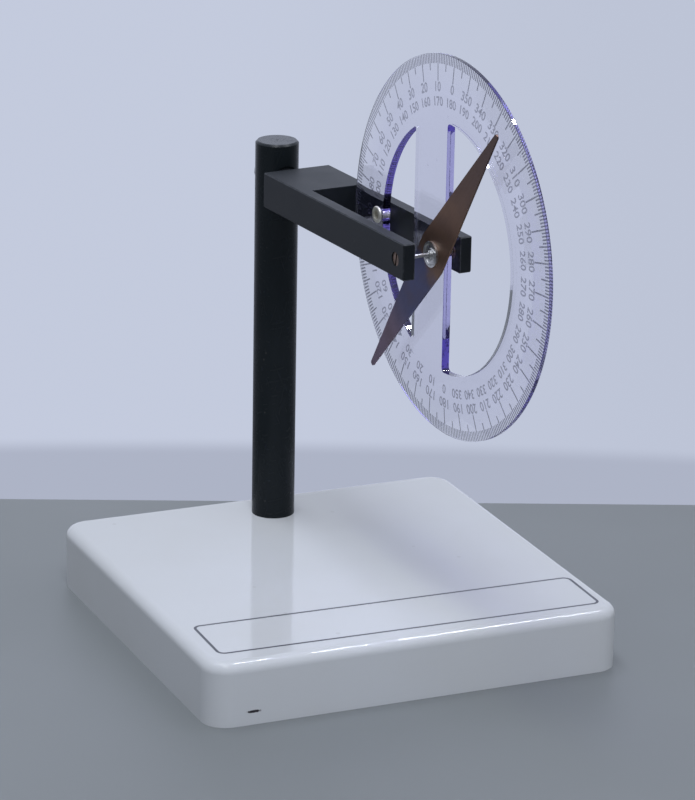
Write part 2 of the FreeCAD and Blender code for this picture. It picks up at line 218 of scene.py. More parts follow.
def ivory_plastic():
    """Polished off-white moulding, a little greyer in patches, with a scuff low on the front."""
    fresh, aged, dust = (0.65, 0.67, 0.70), (0.63, 0.645, 0.665), (0.44, 0.44, 0.43)
    scuff_dark = (0.035, 0.03, 0.035)
    scuff_place = Vector((-0.0485, -0.060, 0.0038))
    scuff_reach = Vector((0.0021, 0.004, 0.00042))
    material, tree, shader = start_material("ivory moulding", Metallic=0.0, IOR=1.5, Specular_IOR_Level=0.24)
    place = place_on(tree)
    marks = place_group(
        tree, HANDLING, {"Place": place, "Patch size": 0.05, "Rub spacing": 0.006, "Speck spacing": 0.009}
    )
    plain = tint(tree, marks.outputs["Tone"], fresh, aged)
    dusty = tint(tree, sums(tree, "MULTIPLY", marks.outputs["Specks"], 0.25), plain, dust)
    inside = vectors(tree, "DIVIDE", vectors(tree, "SUBTRACT", place, scuff_place), scuff_reach)
    reach = sums(tree, "ADD", vectors(tree, "LENGTH", inside), cloud(tree, place, 1800.0, 2.0))
    scuff = fade(tree, reach, 1.25, 1.6, 1.0, 0.0)
    connect(tree, shader, Base_Color=tint(tree, scuff, dusty, scuff_dark))
    rough = sums(tree, "MULTIPLY_ADD", marks.outputs["Rubs"], 0.02, 0.045)
    rough = sums(tree, "MULTIPLY_ADD", marks.outputs["Tone"], 0.03, rough)
    connect(tree, shader, Roughness=sums(tree, "MULTIPLY_ADD", scuff, 0.4, rough))
    raised(tree, shader, cloud(tree, place, 42.0, 1.0), 0.00008)
    return material


dress("base_shell", ivory_plastic())

# BORDER LINE
# A printed field near the base's front edge, framed by one thin line of dark ink with small round corners.
# The ink is a film of a few hundredths of a millimetre on the moulding, slightly worn through in places.

border_half_width, border_half_depth = 0.0558, 0.0104
border_right, border_back, border_skew = 0.0009, -0.0425, math.radians(-1.2)
border_corner, border_line, ink_film = 0.0020, 0.0008, 0.00003


def rounded_path(half_width, half_depth, corner, steps):
    """Points and outward directions round a rectangle with round corners.

    Each corner is a quarter circle about a centre set in by the corner's radius, and the straights join them.
    """
    quarter = np.linspace(0, math.pi / 2, steps)
    turn = np.concatenate([quarter + side * math.pi / 2 for side in range(4)])
    out = np.stack([np.cos(turn), np.sin(turn)], 1)
    sign_x = np.repeat([1, -1, -1, 1], steps)
    sign_y = np.repeat([1, 1, -1, -1], steps)
    centre = np.stack([sign_x * (half_width - corner), sign_y * (half_depth - corner)], 1)
    return centre + corner * out, out


def closed_tube(name, rings):
    """A mesh from rings of points, closed both along the rings and across them."""
    count, around, _ = rings.shape
    ring, step = np.meshgrid(np.arange(count), np.arange(around), indexing="ij")
    next_ring, next_step = (ring + 1) % count, (step + 1) % around
    here, onward = ring * around, next_ring * around
    faces = np.stack([here + step, onward + step, onward + next_step, here + next_step], -1)
    return new_piece(name, rings.reshape(-1, 3), faces.reshape(-1, 4).tolist())


def new_piece(name, points, faces):
    """An object at the origin with its place in its mesh."""
    mesh = bpy.data.meshes.new(name)
    mesh.from_pydata(points.tolist(), [], faces)
    mesh.validate()
    piece = bpy.data.objects.new(name, mesh)
    bpy.context.scene.collection.objects.link(piece)
    return piece


top_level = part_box("base_shell")[1].z
path, outward = rounded_path(border_half_width, border_half_depth, border_corner, 12)
profile = np.array([[-1, -1], [1, -1], [1, 1], [-1, 1]]) * (border_line / 2, ink_film / 2)
across = path[:, None, :] + profile[None, :, :1] * outward[:, None, :]
heights = np.broadcast_to(top_level + profile[None, :, 1:], across[..., :1].shape)
skew_cos, skew_sin = math.cos(border_skew), math.sin(border_skew)
skewed = np.array([[skew_cos, skew_sin, 0], [-skew_sin, skew_cos, 0], [0, 0, 1]])
rings = np.concatenate([across, heights], -1) @ skewed + np.array([border_right, border_back, 0])
border = closed_tube("border_line", rings)


def border_ink():
    """Dark slate ink, thinned where it has been rubbed."""
    fresh, rubbed = (0.032, 0.036, 0.055), (0.16, 0.17, 0.19)
    material, tree, shader = start_material("border ink", Metallic=0.0)
    marks = place_group(tree, HANDLING, {"Place": place_on(tree), "Patch size": 0.008, "Rub spacing": 0.002})
    connect(
        tree,
        shader,
        Base_Color=tint(tree, sums(tree, "MULTIPLY", marks.outputs["Tone"], 0.5), fresh, rubbed),
        Roughness=fade(tree, marks.outputs["Tone"], 0.0, 1.0, 0.3, 0.45),
    )
    raised(tree, shader, marks.outputs["Tone"], 0.00001)
    return material


border.data.materials.append(border_ink())
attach(border, "stand")

# BASE COVER AND ITS SCREWS
# A flat cover of matt black sheet lies flush in the underside, held by four countersunk slotted screws.
# The sheet has a fine leathery grain; the screws are zinc plated, with turned heads.


def grained_sheet():
    """Matt black sheet with a fine pebbled grain and grey rubbing."""
    material, tree, shader = start_material("black sheet", Metallic=0.0)
    place = place_on(tree)
    marks = place_group(tree, HANDLING, {"Place": place, "Patch size": 0.04, "Rub spacing": 0.005})
    worn = sums(tree, "MULTIPLY", marks.outputs["Rubs"], 0.3)
    pebbles = add_node(tree, "ShaderNodeTexVoronoi", {"Vector": place, "Scale": 1600.0}).outputs["Distance"]
    connect(
        tree,
        shader,
        Base_Color=tint(tree, worn, (0.028, 0.028, 0.03), (0.14, 0.14, 0.14)),
        Roughness=fade(tree, pebbles, 0.0, 0.6, 0.62, 0.5),
    )
    raised(tree, shader, pebbles, 0.00006)
    return material


dress("base_cover", grained_sheet())


def turning_group():
    """The marks of a lathe about the pattern's Z axis: fine rings on end faces, fine bands along a side."""
    tree, ins, outs = start_group(
        "turned marks",
        [("Place", "NodeSocketVector", None), ("Pitch", "NodeSocketFloat", 0.00012)],
        [("Tone", "NodeSocketFloat"), ("Height", "NodeSocketFloat")],
    )
    x, y, z = split(tree, ins.outputs["Place"])
    radius = vectors(tree, "LENGTH", joined(tree, X=x, Y=y))
    lie = joined(tree, X=radius, Y=z)
    fine = sums(tree, "DIVIDE", 1.0, ins.outputs["Pitch"])
    broad = cloud(tree, lie, sums(tree, "MULTIPLY", fine, 0.15), 1.0)
    tree.links.new(fade(tree, broad, 0.35, 0.65), outs.inputs["Tone"])
    tree.links.new(cloud(tree, lie, fine, 1.0), outs.inputs["Height"])
    return tree


TURNED = turning_group()


def own_axes(tree, centre, along_x, along_y, along_z):
    """The point measured in a piece's own axes from its own centre."""
    rows = Matrix((along_x, along_y, along_z))
    return moved(tree, place_on(tree), shift=-(rows @ Vector(centre)), turn=rows.to_euler("XYZ"))


def turned_metal(name, bright, dull, gloss, centre, axis, pitch=0.00012, depth=0.000006):
    """Turned and plated metal with its lathe marks about an axis, and dull patches."""
    rest = Vector(axis).normalized().orthogonal().normalized()
    third = Vector(axis).normalized().cross(rest)
    material, tree, shader = start_material(name, Metallic=1.0)
    place = own_axes(tree, centre, rest, third, Vector(axis).normalized())
    cut = place_group(tree, TURNED, {"Place": place, "Pitch": pitch})
    marks = place_group(
        tree, HANDLING, {"Place": place, "Patch size": 0.0025, "Rub spacing": 0.001, "Speck spacing": 0.001}
    )
    ringed = sums(tree, "MULTIPLY", cut.outputs["Tone"], 0.3)
    share = sums(tree, "MULTIPLY_ADD", marks.outputs["Tone"], 0.6, ringed)
    rough = sums(tree, "MULTIPLY_ADD", marks.outputs["Tone"], 0.15, gloss)
    connect(
        tree,
        shader,
        Base_Color=tint(tree, share, bright, dull),
        Roughness=sums(tree, "MULTIPLY_ADD", cut.outputs["Tone"], 0.06, rough),
    )
    raised(tree, shader, cut.outputs["Height"], depth)
    return material


zinc_bright, zinc_dull = (0.60, 0.61, 0.62), (0.42, 0.43, 0.44)
dress("cover_screws", turned_metal("zinc screws", zinc_bright, zinc_dull, 0.3, (0, 0, 0), (0, 0, 1)))

# POST
# A straight round bar of aluminium, black anodised over a fine turned surface, with a small chamfer and the
# dimple of a lathe's centre on top. A screw from below, with a washer and a lock washer, holds it.

UP = Vector((0, 0, 1))
joints = {joint["name"]: joint for joint in frame["joints"]}
pivot = Vector(joints["yoke_turn"]["pos_m"])
post_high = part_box("post")[1]


def black_bar():
    """Black anodising, smooth on the side and rubbed to grey along the chamfer and on the end face."""
    anodised, faded, bare = (0.0085, 0.0118, 0.0142), (0.012, 0.0155, 0.0185), (0.125, 0.133, 0.15)
    material, tree, shader = start_material(
        "black anodised bar", Metallic=0.0, IOR=1.5, Specular_IOR_Level=0.16
    )
    place = own_axes(tree, (pivot.x, pivot.y, 0), Vector((1, 0, 0)), Vector((0, 1, 0)), UP)
    cut = place_group(tree, TURNED, {"Place": place, "Pitch": 0.0002})
    marks = place_group(
        tree, HANDLING, {"Place": place, "Patch size": 0.03, "Rub spacing": 0.004, "Speck spacing": 0.004}
    )
    plain = tint(tree, marks.outputs["Tone"], anodised, faded)
    dusty = tint(tree, sums(tree, "MULTIPLY", marks.outputs["Specks"], 0.6), plain, (0.06, 0.06, 0.06))
    height = split(tree, place)["Z"]
    near_top = fade(tree, height, post_high.z - 0.0008, post_high.z - 0.0004)
    patchy = sums(tree, "MULTIPLY", near_top, fade(tree, cut.outputs["Tone"], 0.0, 1.0, 0.05, 0.45))
    connect(tree, shader, Base_Color=tint(tree, patchy, dusty, bare))
    rough = sums(tree, "MULTIPLY_ADD", marks.outputs["Tone"], 0.06, 0.22)
    connect(tree, shader, Roughness=sums(tree, "MULTIPLY_ADD", marks.outputs["Rubs"], 0.12, rough))
    raised(tree, shader, cut.outputs["Height"], 0.000005)
    return material


dress("post", black_bar())
post_foot = (pivot.x, pivot.y, 0)
dress("post_screw", turned_metal("post screw zinc", zinc_bright, zinc_dull, 0.3, post_foot, UP))
for washer in ("post_washer", "post_lock_washer"):
    dress(washer, turned_metal(washer + " zinc", zinc_bright, zinc_dull, 0.35, post_foot, UP))

# PIVOT
# The screw through the post's head carries the yoke. Its domed, slotted head is at the back with a flat
# washer and a spring washer, and a black spacer keeps the yoke clear of the post.

forward = Vector(joints["yoke_turn"]["axis"])
dress("pivot_screw", turned_metal("pivot screw zinc", zinc_bright, zinc_dull, 0.25, pivot, forward))
for washer in ("pivot_washer", "pivot_spring_washer"):
    dress(washer, turned_metal(washer + " zinc", zinc_bright, zinc_dull, 0.35, pivot, forward))


def black_spacer():
    """A short turned tube, black anodised, with its lathe marks."""
    material, tree, shader = start_material("black anodised spacer", Metallic=0.0, IOR=1.5)
    across = forward.cross(UP)
    place = own_axes(tree, pivot, across, UP, -forward)
    cut = place_group(tree, TURNED, {"Place": place, "Pitch": 0.0002})
    connect(
        tree,
        shader,
        Base_Color=tint(tree, cut.outputs["Tone"], (0.008, 0.009, 0.011), (0.02, 0.021, 0.025)),
        Roughness=fade(tree, cut.outputs["Tone"], 0.0, 1.0, 0.28, 0.38),
    )
    raised(tree, shader, cut.outputs["Height"], 0.000006)
    return material


dress("pivot_spacer", black_spacer())

# YOKE
# One square-cut aluminium bar, milled with a slot between its two prongs and anodised a satin slate black.
# Its surface has the fine grain of a bead blast, and its small chamfers are rubbed grey by handling.

rightward = Vector(joints["needle_swing"]["axis"])
axle_middle = Vector(joints["needle_swing"]["pos_m"])
yoke_start, yoke_end, yoke_half_width, yoke_half_height = 0.01199, 0.09299, 0.0104, 0.005
slot_start, slot_half = 0.03449, 0.00695


def bar_edges_group():
    """Rubbed edges of a slotted bar, from the distances to its faces.

    For each axis the distance to the nearer face is taken, the slot's own walls included. On the surface the
    least of the three is nought, and the middle one is the distance to the nearest edge.
    """
    tree, ins, outs = start_group(
        "rubbed edges of a slotted bar",
        [
            ("Place", "NodeSocketVector", None),
            ("Middle", "NodeSocketVector", (0, 0, 0)),
            ("Half size", "NodeSocketVector", (0.01, 0.01, 0.01)),
            ("Slot start", "NodeSocketFloat", 0.0),
            ("Slot half", "NodeSocketFloat", 0.005),
            ("Width", "NodeSocketFloat", 0.0004),
        ],
        [("Edge", "NodeSocketFloat")],
    )
    size = vectors(tree, "ABSOLUTE", vectors(tree, "SUBTRACT", ins.outputs["Place"], ins.outputs["Middle"]))
    inset = vectors(tree, "ABSOLUTE", vectors(tree, "SUBTRACT", ins.outputs["Half size"], size))
    x, y, z = split(tree, inset)
    along, side, _ = split(tree, ins.outputs["Place"])
    side_size = sums(tree, "ABSOLUTE", side)
    to_wall = sums(tree, "ABSOLUTE", sums(tree, "SUBTRACT", side_size, ins.outputs["Slot half"]))
    before_slot = sums(tree, "LESS_THAN", along, sums(tree, "SUBTRACT", ins.outputs["Slot start"], 0.0001))
    y = sums(tree, "MINIMUM", y, sums(tree, "ADD", to_wall, before_slot))
    to_root = sums(tree, "ABSOLUTE", sums(tree, "SUBTRACT", along, ins.outputs["Slot start"]))
    in_prong = sums(tree, "GREATER_THAN", side_size, sums(tree, "ADD", ins.outputs["Slot half"], 0.0001))
    x = sums(tree, "MINIMUM", x, sums(tree, "ADD", to_root, in_prong))
    least = sums(tree, "MINIMUM", sums(tree, "MINIMUM", x, y), z)
    most = sums(tree, "MAXIMUM", sums(tree, "MAXIMUM", x, y), z)
    total = sums(tree, "ADD", sums(tree, "ADD", x, y), z)
    middle = sums(tree, "SUBTRACT", sums(tree, "SUBTRACT", total, least), most)
    from_edge = sums(tree, "DIVIDE", middle, ins.outputs["Width"])
    tree.links.new(sums(tree, "SUBTRACT", 1.0, from_edge, clamp=True), outs.inputs["Edge"])
    return tree


BAR_EDGES = bar_edges_group()


def slate_anodising():
    """Satin slate-black anodising with a blasted grain, rubbed grey along the edges."""
    slate, faded, rubbed = (0.0088, 0.0112, 0.0138), (0.014, 0.017, 0.021), (0.17, 0.18, 0.2)
    material, tree, shader = start_material("slate anodising", Metallic=0.0, IOR=1.5, Specular_IOR_Level=0.22)
    place = own_axes(tree, pivot, forward, rightward, UP)
    middle = ((yoke_start + yoke_end) / 2, 0, 0)
    half = ((yoke_end - yoke_start) / 2, yoke_half_width, yoke_half_height)
    edges = place_group(
        tree,
        BAR_EDGES,
        {
            "Place": place,
            "Middle": middle,
            "Half size": half,
            "Slot start": slot_start,
            "Slot half": slot_half,
            "Width": 0.0005,
        },
    )
    marks = place_group(
        tree, HANDLING, {"Place": place, "Patch size": 0.012, "Rub spacing": 0.004, "Speck spacing": 0.003}
    )
    ragged = cloud(tree, place, 1500.0, 3.0)
    worn = fade(tree, sums(tree, "MULTIPLY_ADD", edges.outputs["Edge"], 0.8, ragged), 0.8, 1.5)
    plain = tint(tree, marks.outputs["Tone"], slate, faded)
    dusty = tint(tree, sums(tree, "MULTIPLY", marks.outputs["Specks"], 0.5), plain, (0.08, 0.08, 0.085))
    connect(tree, shader, Base_Color=tint(tree, sums(tree, "MULTIPLY", worn, 0.35), dusty, rubbed))
    grain = cloud(tree, place, 2600.0, 2.0)
    rough = sums(tree, "MULTIPLY_ADD", marks.outputs["Tone"], 0.08, 0.40)
    connect(tree, shader, Roughness=sums(tree, "MULTIPLY_ADD", worn, -0.08, rough))
    raised(tree, shader, grain, 0.00002)
    return material


dress("yoke", slate_anodising())

# BEARING SCREWS
# Two small slotted brass screws, one in each prong, each with a cup for a point of the axle.
# They have tarnished to a coppery brown.

coppery, tarnished = (0.34, 0.24, 0.19), (0.16, 0.12, 0.10)
for bearing in ("front_bearing", "rear_bearing"):
    dress(bearing, turned_metal(bearing + " brass", coppery, tarnished, 0.35, axle_middle, rightward, 0.0002))

# SCALE DISC
# A full circle cut from clear sheet with a faint violet dye, which shows strongly at its cut edges.
# Its rim is bevelled on the front, and two windows beside a bar leave the needle open to view.

disc_low, disc_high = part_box("scale_disc")
disc_middle = Vector((axle_middle.x, axle_middle.y, (disc_low.z + disc_high.z) / 2))
disc_front, bevel_start, disc_radius, bevel_depth = 0.00465, 0.042, 0.052, 0.0012


def on_disc(along, height, depth):
    """Points from distances forward and up from the disc's middle, and a depth in front of its front face."""
    sides = np.array([list(forward), list(UP), list(-rightward)])
    local = np.stack(np.broadcast_arrays(along, height, depth - disc_front), -1)
    return local @ sides + np.array(disc_middle)


def clear_sheet():
    """Clear violet-dyed plastic, glass-smooth with light scratches.

    The dye deepens with the length of the light's way, light that is led on inside the sheet more than three
    times comes out deep violet, and the sheet's shadow has a tint of the dye.
    """
    dye, density = (0.66, 0.62, 0.93), 80.0
    material, tree, shader = start_material(
        "violet clear sheet",
        Metallic=0.0,
        Transmission_Weight=1.0,
        IOR=1.49,
        Base_Color=(0.94, 0.94, 0.945, 1.0),
    )
    place = own_axes(tree, disc_middle, forward, UP, rightward)
    marks = place_group(
        tree, HANDLING, {"Place": place, "Patch size": 0.02, "Rub spacing": 0.004, "Speck spacing": 0.005}
    )
    rough = sums(tree, "MULTIPLY_ADD", marks.outputs["Rubs"], 0.08, 0.015)
    connect(tree, shader, Roughness=sums(tree, "MULTIPLY_ADD", marks.outputs["Specks"], 0.3, rough))
    raised(tree, shader, cloud(tree, place, 90.0, 1.0), 0.00002)
    out = tree.nodes["Material Output"]
    ray = add_node(tree, "ShaderNodeLightPath")
    led_far = add_node(tree, "ShaderNodeBsdfTransparent", {"Color": (0.22, 0.18, 0.42, 1.0)})
    in_shadow = add_node(tree, "ShaderNodeBsdfTransparent", {"Color": (0.80, 0.79, 0.93, 1.0)})
    many_turns = sums(tree, "GREATER_THAN", ray.outputs["Glossy Depth"], 3.5)
    led = add_node(
        tree,
        "ShaderNodeMixShader",
        {0: many_turns, 1: shader.outputs["BSDF"], 2: led_far.outputs["BSDF"]},
    )
    both = add_node(
        tree,
        "ShaderNodeMixShader",
        {0: ray.outputs["Is Shadow Ray"], 1: led.outputs[0], 2: in_shadow.outputs["BSDF"]},
    )
    tree.links.new(both.outputs[0], out.inputs["Surface"])
    soak = add_node(tree, "ShaderNodeVolumeAbsorption", {"Color": (*dye, 1.0), "Density": density})
    tree.links.new(soak.outputs["Volume"], out.inputs["Volume"])
    return material


def arc(centre, radius, start, end, count):
    """Points along an arc: the centre plus the radius times the cosine and sine of evenly stepped angles."""
    turn = np.linspace(start, end, count)
    return np.stack([centre[0] + radius * np.cos(turn), centre[1] + radius * np.sin(turn)], 1)


def window_outline(edge, side, corner, inner_parts):
    """A window's outline, anticlockwise: the part of a circle beyond a straight edge, with rounded corners.

    A corner's centre lies one corner radius off the edge and one inside the circle, so both are touched.
    """
    x = edge + side * corner
    y = math.sqrt((window_radius - corner) ** 2 - x**2)
    lean = math.atan2(y, abs(x))
    if side > 0:
        parts = [arc((0, 0), window_radius, -lean, lean, 150), arc((x, y), corner, lean, math.pi, 14)]
        parts += [*inner_parts, arc((x, -y), corner, math.pi, 2 * math.pi - lean, 14)]
    else:
        parts = [arc((0, 0), window_radius, math.pi - lean, math.pi + lean, 110)]
        parts += [arc((x, -y), corner, math.pi + lean, 2 * math.pi, 14), *inner_parts]
        parts += [arc((x, y), corner, 0, math.pi - lean, 14)]
    outline = np.concatenate(parts)
    same_point = 1e-7
    return outline[np.linalg.norm(outline - np.roll(outline, 1, 0), axis=1) > same_point]


def wall_rings(outline, inward, steps):
    """A cut edge: the outline moved along its own normals and down through the sheet, step by step."""
    along = np.roll(outline, -1, 0) - np.roll(outline, 1, 0)
    normal = np.stack([along[:, 1], -along[:, 0]], 1) / np.linalg.norm(along, axis=1)[:, None]
    inset, depth = np.array(steps).T
    flat = outline[:, None, :] + inward * inset[None, :, None] * normal[:, None, :]
    return on_disc(flat[..., 0], flat[..., 1], -np.broadcast_to(depth, flat.shape[:2]))


def band_faces(count, levels, start):
    """Four-cornered faces between the levels of one closed outline."""
    ring, level = np.meshgrid(np.arange(count), np.arange(levels - 1), indexing="ij")
    following = (ring + 1) % count
    here, onward = ring * levels + level, following * levels + level
    corners = np.stack([here, here + 1, onward + 1, onward], -1)
    return (corners.reshape(-1, 4) + start).tolist()


def clear_disc(name):
    """The sheet: every cut edge with softened arrises, then its front and back filled between them."""
    points, faces, start = [], [], 0
    for outline, inward, steps in outlines:
        rings = wall_rings(outline, inward, steps)
        points.append(rings.reshape(-1, 3))
        faces += band_faces(len(outline), len(steps), start)
        start += rings.shape[0] * rings.shape[1]
    piece = new_piece(name, np.concatenate(points), faces)
    work = bmesh.new()
    work.from_mesh(piece.data)
    on_plane = 1e-6
    for level in (0.0, -sheet_thick):
        plane = Vector(on_disc(0.0, 0.0, level))
        rim_edges = [
            edge
            for edge in work.edges
            if edge.is_boundary and all(abs((v.co - plane).dot(rightward)) < on_plane for v in edge.verts)
        ]
        bmesh.ops.triangle_fill(work, edges=rim_edges, use_beauty=True)
    bmesh.ops.recalc_face_normals(work, faces=work.faces)
    work.to_mesh(piece.data)
    work.free()
    piece.data.shade_smooth()
    piece.data.set_sharp_from_angle(angle=math.radians(15))
    return piece


sheet_thick, arris = 0.00228, 0.0001
bevel_run = disc_radius - bevel_start
bevel_slope = bevel_depth / bevel_run
window_radius, window_corner, small_corner, bar_edge = 0.0343, 0.0012, 0.0005, -0.017
notch_radius, axle_drop = 0.00127, -0.001
eyelet_hole, ring_eyelet, bar_eyelet = 0.00175, -0.0373, -0.0085
cut_edge = [(arris, 0), (0.3 * arris, 0.3 * arris), (0, arris)]
cut_edge += [(inset, sheet_thick - depth) for inset, depth in cut_edge[::-1]]
rim_edge = [(bevel_run + arris / 2, 0), (bevel_run - arris / 2, bevel_slope * arris / 2)]
rim_edge += [(arris, bevel_depth - bevel_slope * arris), (0, bevel_depth + arris / 2)]
rim_edge += [(0, sheet_thick - arris), (0.3 * arris, sheet_thick - 0.3 * arris), (arris, sheet_thick)]
full_turn, hole_turn = 2 * math.pi * (1 - 1 / 360), 2 * math.pi * (1 - 1 / 48)
notch = arc((0, axle_drop), notch_radius, math.pi / 2, 1.5 * math.pi, 25)
outlines = [
    (arc((0, 0), disc_radius, 0, full_turn, 360), -1, rim_edge),
    (window_outline(0.0, 1, window_corner, [notch]), 1, cut_edge),
    (window_outline(bar_edge, -1, small_corner, []), 1, cut_edge),
    (arc((ring_eyelet, 0), eyelet_hole, 0, hole_turn, 48), 1, cut_edge),
    (arc((bar_eyelet, 0), eyelet_hole, 0, hole_turn, 48), 1, cut_edge),
]
disc = clear_disc("protractor_disc")
disc.data.materials.append(clear_sheet())
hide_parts("scale_disc")
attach(disc, "head")

# DEGREE SCALE
# Printed in thin grey ink on the back of the sheet, so it is seen through it: a stroke at every degree out to
# the rim, longer ones at every fifth and tenth, and two rows of plain numbers that count opposite ways.

stroke_width, ink_sunk, ink_proud = 0.00044, 0.00001, 0.00001
single_reach, fifth_reach, tenth_reach, stroke_end = 0.0492, 0.0473, 0.0446, 0.0518
outer_row, outer_tall, inner_row, inner_tall, number_weight = 0.0431, 0.0027, 0.0393, 0.0026, 0.018


def ink_strokes(name):
    """All degree strokes at once.

    A stroke is a flat bar from its inner radius to its outer one. Its width runs along the tangent, and its
    film from just inside the sheet's back to just behind it.
    """
    degree = np.arange(360)
    inner = np.where(degree % 10 == 0, tenth_reach, np.where(degree % 5 == 0, fifth_reach, single_reach))
    radius = np.stack([inner, np.full(360, stroke_end)], 1)[:, :, None]
    side = np.array([-1, 1, 1, -1]) * stroke_width / 2
    film = np.array([-ink_proud, -ink_proud, ink_sunk, ink_sunk])
    turn = np.radians(degree)[:, None, None]
    along = -np.sin(turn) * radius - np.cos(turn) * side
    height = np.cos(turn) * radius - np.sin(turn) * side
    points = on_disc(along, height, film - sheet_thick)
    walls = [(j, (j + 1) % 4, 4 + (j + 1) % 4, 4 + j) for j in range(4)]
    faces = np.array(walls + [(3, 2, 1, 0), (4, 5, 6, 7)])[None] + 8 * degree[:, None, None]
    return new_piece(name, points.reshape(-1, 3), faces.reshape(-1, 4).tolist())


def printed_numbers(name, labels, middle_radius, tall):
    """A ring of numbers, each one standing on the radius of its angle with its top to the rim."""
    all_points, all_faces, start = [], [], 0
    for degree, label in labels:
        curve = bpy.data.curves.new("number", "FONT")
        curve.body, curve.align_x, curve.resolution_u, curve.extrude = str(label), "CENTER", 3, 0.5
        curve.offset = number_weight
        words = bpy.data.objects.new("number", curve)
        bpy.context.scene.collection.objects.link(words)
        bpy.context.view_layer.update()
        flat = bpy.data.meshes.new_from_object(words.evaluated_get(bpy.context.evaluated_depsgraph_get()))
        corners = np.zeros(len(flat.vertices) * 3, np.float32)
        flat.vertices.foreach_get("co", corners)
        corners = corners.reshape(-1, 3).astype(float)
        middle = (corners[:, :2].max(0) + corners[:, :2].min(0)) / 2
        size = tall / np.ptp(corners[:, 1])
        across, rise = ((corners[:, :2] - middle) * size).T
        turn = math.radians(degree)
        radius = middle_radius + rise
        along = -math.sin(turn) * radius + math.cos(turn) * across
        height = math.cos(turn) * radius + math.sin(turn) * across
        depth = np.where(corners[:, 2] > 0, ink_sunk, -ink_proud) - sheet_thick
        all_points.append(on_disc(along, height, depth))
        all_faces += [[start + vertex for vertex in face.vertices] for face in flat.polygons]
        start += len(corners)
        bpy.data.objects.remove(words)
        bpy.data.curves.remove(curve)
        bpy.data.meshes.remove(flat)
    return new_piece(name, np.concatenate(all_points), all_faces)


def grey_ink(name, cover):
    """Grey printing ink, thin and a little uneven, that covers a share of the light behind it."""
    material, tree, shader = start_material(name, Metallic=0.0, Alpha=cover)
    marks = place_group(tree, HANDLING, {"Place": place_on(tree), "Patch size": 0.004, "Rub spacing": 0.001})
    connect(
        tree,
        shader,
        Base_Color=tint(tree, marks.outputs["Tone"], (0.035, 0.037, 0.055), (0.07, 0.073, 0.10)),
        Roughness=fade(tree, marks.outputs["Tone"], 0.0, 1.0, 0.4, 0.55),
    )
    raised(tree, shader, marks.outputs["Tone"], 0.000005)
    return material


stroke_ink, number_ink = grey_ink("grey stroke ink", 0.43), grey_ink("grey number ink", 0.32)
outer_labels = [(degree, degree) for degree in range(0, 360, 10)]
inner_labels = [(degree, (180 - degree) % 360) for degree in range(0, 360, 10)]
for printed, ink in (
    (ink_strokes("degree_strokes"), stroke_ink),
    (printed_numbers("outer_numbers", outer_labels, outer_row, outer_tall), number_ink),
    (printed_numbers("inner_numbers", inner_labels, inner_row, inner_tall), number_ink),
):
    printed.data.materials.append(ink)
    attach(printed, "head")

# DISC EYELETS
# Two hollow rivets, rolled over at both ends, fasten the disc to the rear prong.
# They are nickel plated and have dulled to a warm cream.

eyelet_bore = 0.00138


def rolled_eyelet():
    """Dulled nickel, shaded about the nearer rivet's own axis, with painted shade making its bore near black.
    """
    cream, dull, bore_shade = (0.80, 0.79, 0.72), (0.60, 0.58, 0.51), (0.02, 0.02, 0.018)
    middle = disc_middle + forward * (ring_eyelet + bar_eyelet) / 2
    material, tree, shader = start_material("dulled nickel")
    place = own_axes(tree, middle, forward, UP, rightward)
    along, rise, through = split(tree, place)
    from_axis = sums(tree, "SUBTRACT", sums(tree, "ABSOLUTE", along), (bar_eyelet - ring_eyelet) / 2)
    around = joined(tree, X=from_axis, Y=rise, Z=through)
    radius = vectors(tree, "LENGTH", joined(tree, X=from_axis, Y=rise))
    cut = place_group(tree, TURNED, {"Place": around, "Pitch": 0.0002})
    metal = tint(tree, cut.outputs["Tone"], cream, dull)
    # Painted shade: inside the bore's radius the colour is near black and only half as metallic.
    outside = fade(tree, radius, eyelet_bore, eyelet_bore + 0.0002)
    halved = sums(tree, "MULTIPLY", outside, 0.5)
    connect(
        tree,
        shader,
        Base_Color=tint(tree, outside, bore_shade, metal),
        Metallic=halved,
        Roughness=sums(tree, "SUBTRACT", fade(tree, cut.outputs["Tone"], 0.0, 1.0, 0.8, 0.92), halved),
    )
    raised(tree, shader, cut.outputs["Height"], 0.000006)
    return material


dress("disc_eyelets", rolled_eyelet())

# NEEDLE
# A flat rhombus of spring steel, tempered brown on one half and blued on the other, which turns brown again
# at its tip. It is pressed on a nickelled hub, whose collar closes it from behind, on a ground steel axle.

dip = math.radians(51.4)
needle_along = forward * math.cos(dip) + UP * math.sin(dip)
needle_across = rightward.cross(needle_along)


def tempered_steel():
    """Temper colours along the needle over a fine lengthwise grain."""
    brown, dark_brown, blue = (0.225, 0.13, 0.085), (0.115, 0.072, 0.06), (0.082, 0.090, 0.185)
    tip_tone = (0.20, 0.145, 0.195)
    material, tree, shader = start_material("tempered steel", Metallic=0.9)
    place = own_axes(tree, axle_middle, needle_along, needle_across, rightward)
    blotch = cloud(tree, place, 130.0, 3.0)
    shifted = sums(tree, "MULTIPLY_ADD", blotch, 0.012, split(tree, place)["X"])
    lower = fade(tree, shifted, -0.001, 0.004, 1.0, 0.0)
    tip = fade(tree, shifted, -0.030, -0.014, 1.0, 0.0)
    upper_colour = tint(tree, fade(tree, shifted, 0.01, 0.05), brown, dark_brown)
    lower_colour = tint(tree, tip, blue, tip_tone)
    halves = tint(tree, lower, upper_colour, lower_colour)
    mottling = fade(tree, blotch, 0.35, 0.75, 0.0, 0.35)
    connect(tree, shader, Base_Color=tint(tree, mottling, halves, dark_brown))
    lengthwise = moved(tree, place, scale=(60.0, 2600.0, 2600.0))
    grain = cloud(tree, lengthwise, 1.0, 2.0)
    connect(tree, shader, Roughness=sums(tree, "MULTIPLY_ADD", grain, 0.2, 0.34))
    raised(tree, shader, grain, 0.000008)
    return material


